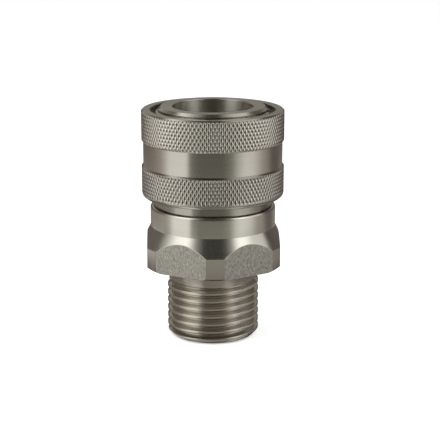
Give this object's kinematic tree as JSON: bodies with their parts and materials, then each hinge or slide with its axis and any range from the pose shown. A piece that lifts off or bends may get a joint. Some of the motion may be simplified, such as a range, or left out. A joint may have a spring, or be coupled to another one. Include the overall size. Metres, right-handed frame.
{
  "type": "quick coupling",
  "caption": "Ball-lock quick coupling socket with a knurled sprung sleeve, a hexagon, a male pipe thread and a poppet valve inside.",
  "frame": {"origin": "centre of the thread's end face, where the axis meets it", "axes": "+Z along the coupling's axis towards the plug's mouth, two of the hexagon's flats face +X and -X"},
  "size_m": [0.0322, 0.0326, 0.053],
  "materials": {
    "body_steel": "turned and milled stainless steel",
    "nose_steel": "turned stainless steel",
    "sleeve_steel": "knurled and turned stainless steel",
    "spring_steel": "drawn stainless spring wire",
    "ball_steel": "ground and polished",
    "seal_rubber": "moulded rubber",
    "backup_plastic": "cut plastic ring"
  },
  "bodies": {
    "socket": {"adapter": "body_steel", "front_body": "nose_steel", "ball_1": "ball_steel", "ball_2": "ball_steel", "ball_3": "ball_steel", "ball_4": "ball_steel", "ball_5": "ball_steel", "ball_6": "ball_steel", "ball_7": "ball_steel", "ball_8": "ball_steel", "sleeve_spring": "spring_steel", "plug_seal_ring": "seal_rubber", "plug_backup_ring": "backup_plastic", "joint_seal_ring": "seal_rubber", "valve_guide": "nose_steel", "valve_spring": "spring_steel"},
    "retaining_ring": {"sleeve_retaining_ring": "spring_steel"},
    "sleeve": {"sleeve": "sleeve_steel"},
    "valve": {"valve_poppet": "nose_steel", "valve_seal_ring": "seal_rubber"}
  },
  "joints": [
    {"name": "sleeve_spin", "type": "hinge", "parent": "socket", "child": "retaining_ring", "pos_m": [0, 0, 0.0513], "axis": [0, 0, 1], "continuous": true},
    {"name": "sleeve_slide", "type": "slide", "parent": "retaining_ring", "child": "sleeve", "axis": [0, 0, -1], "range_m": [0, 0.0052], "stiffness_N_per_m": 600, "springref_m": -0.0103, "deforming": ["sleeve_spring"]},
    {"name": "valve_slide", "type": "slide", "parent": "socket", "child": "valve", "axis": [0, 0, -1], "range_m": [0, 0.004], "stiffness_N_per_m": 2000, "springref_m": -0.005, "deforming": ["valve_spring"]}
  ]
}
